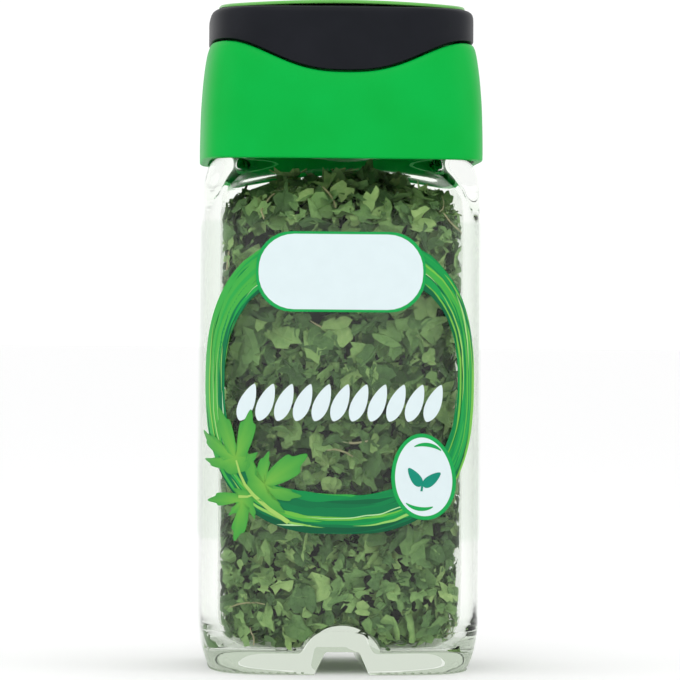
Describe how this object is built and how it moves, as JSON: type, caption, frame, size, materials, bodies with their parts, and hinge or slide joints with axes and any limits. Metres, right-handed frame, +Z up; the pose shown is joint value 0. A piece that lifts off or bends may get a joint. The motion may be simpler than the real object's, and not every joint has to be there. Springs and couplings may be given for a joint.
{
  "type": "glass spice jar of dried parsley leaf",
  "caption": "Square clear glass spice jar full of dried parsley leaf, with a green collar, a holed inner fitment and a black flip-up lid.",
  "frame": {"origin": "centre of the jar's base on the ground plane", "axes": "+Z up the jar's axis, front of the jar towards -Y, hinge of the lid at the back towards +Y"},
  "size_m": [0.0452, 0.0452, 0.108],
  "materials": {
    "glass": "clear, smooth",
    "film": "clear printed film, satin",
    "green_plastic": "satin moulded plastic",
    "black_plastic": "fine satin moulded plastic",
    "green_disc": "glossy moulded plastic",
    "dried_leaf": "dry crumbled leaf",
    "dried_stalk": "dry stem"
  },
  "bodies": {
    "jar": {"glass_jar": "glass", "parsley_fill": "dried_leaf", "top_leaf_1": "dried_leaf", "top_leaf_2": "dried_leaf", "top_leaf_3": "dried_leaf", "top_leaf_4": "dried_leaf", "top_leaf_5": "dried_leaf", "top_leaf_6": "dried_leaf", "top_leaf_7": "dried_leaf", "top_leaf_8": "dried_leaf", "top_leaf_9": "dried_leaf", "stalk_1": "dried_stalk", "stalk_2": "dried_stalk", "stalk_3": "dried_stalk", "label_film": "film", "cap_collar": "green_plastic", "sifter_fitment": "green_plastic"},
    "lid": {"flip_lid": "black_plastic", "lid_disc": "green_disc"}
  },
  "joints": [
    {"name": "lid_hinge", "type": "hinge", "parent": "jar", "child": "lid", "pos_m": [0, 0.0206, 0.1016], "axis": [-1, 0, 0], "range_deg": [0, 120]}
  ]
}
